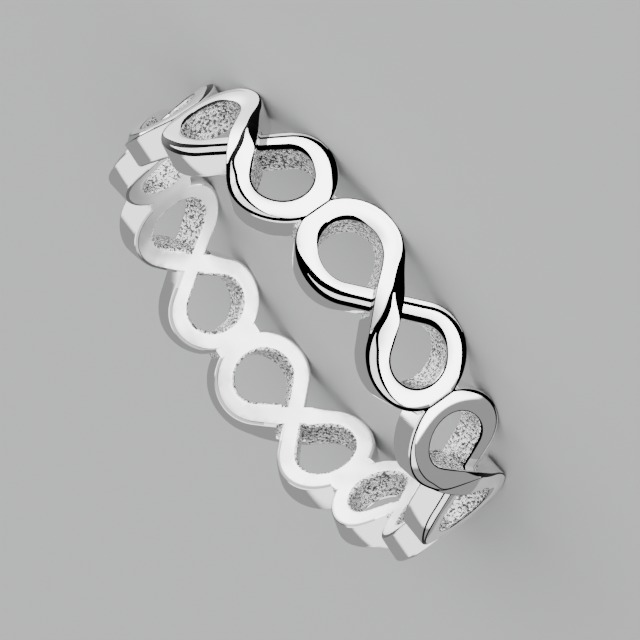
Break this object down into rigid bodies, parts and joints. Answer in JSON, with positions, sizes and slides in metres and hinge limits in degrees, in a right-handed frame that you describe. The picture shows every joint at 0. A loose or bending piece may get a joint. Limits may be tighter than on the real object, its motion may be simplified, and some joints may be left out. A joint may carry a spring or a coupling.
{
  "type": "infinity ring",
  "caption": "Openwork finger ring made of figure-of-eight links joined end to end round one circle, cast in one piece of polished silver.",
  "frame": {"origin": "centre of the finger hole, halfway across the band", "axes": "+Z along the finger hole, up when the ring lies on its side; +X towards the crossing of one link"},
  "size_m": [0.0203, 0.0204, 0.0042],
  "materials": {
    "polished_silver": "mirror-polished sterling silver outside, satin inside, as cast in the openings"
  },
  "bodies": {
    "root": {"band": "polished_silver"}
  },
  "joints": []
}
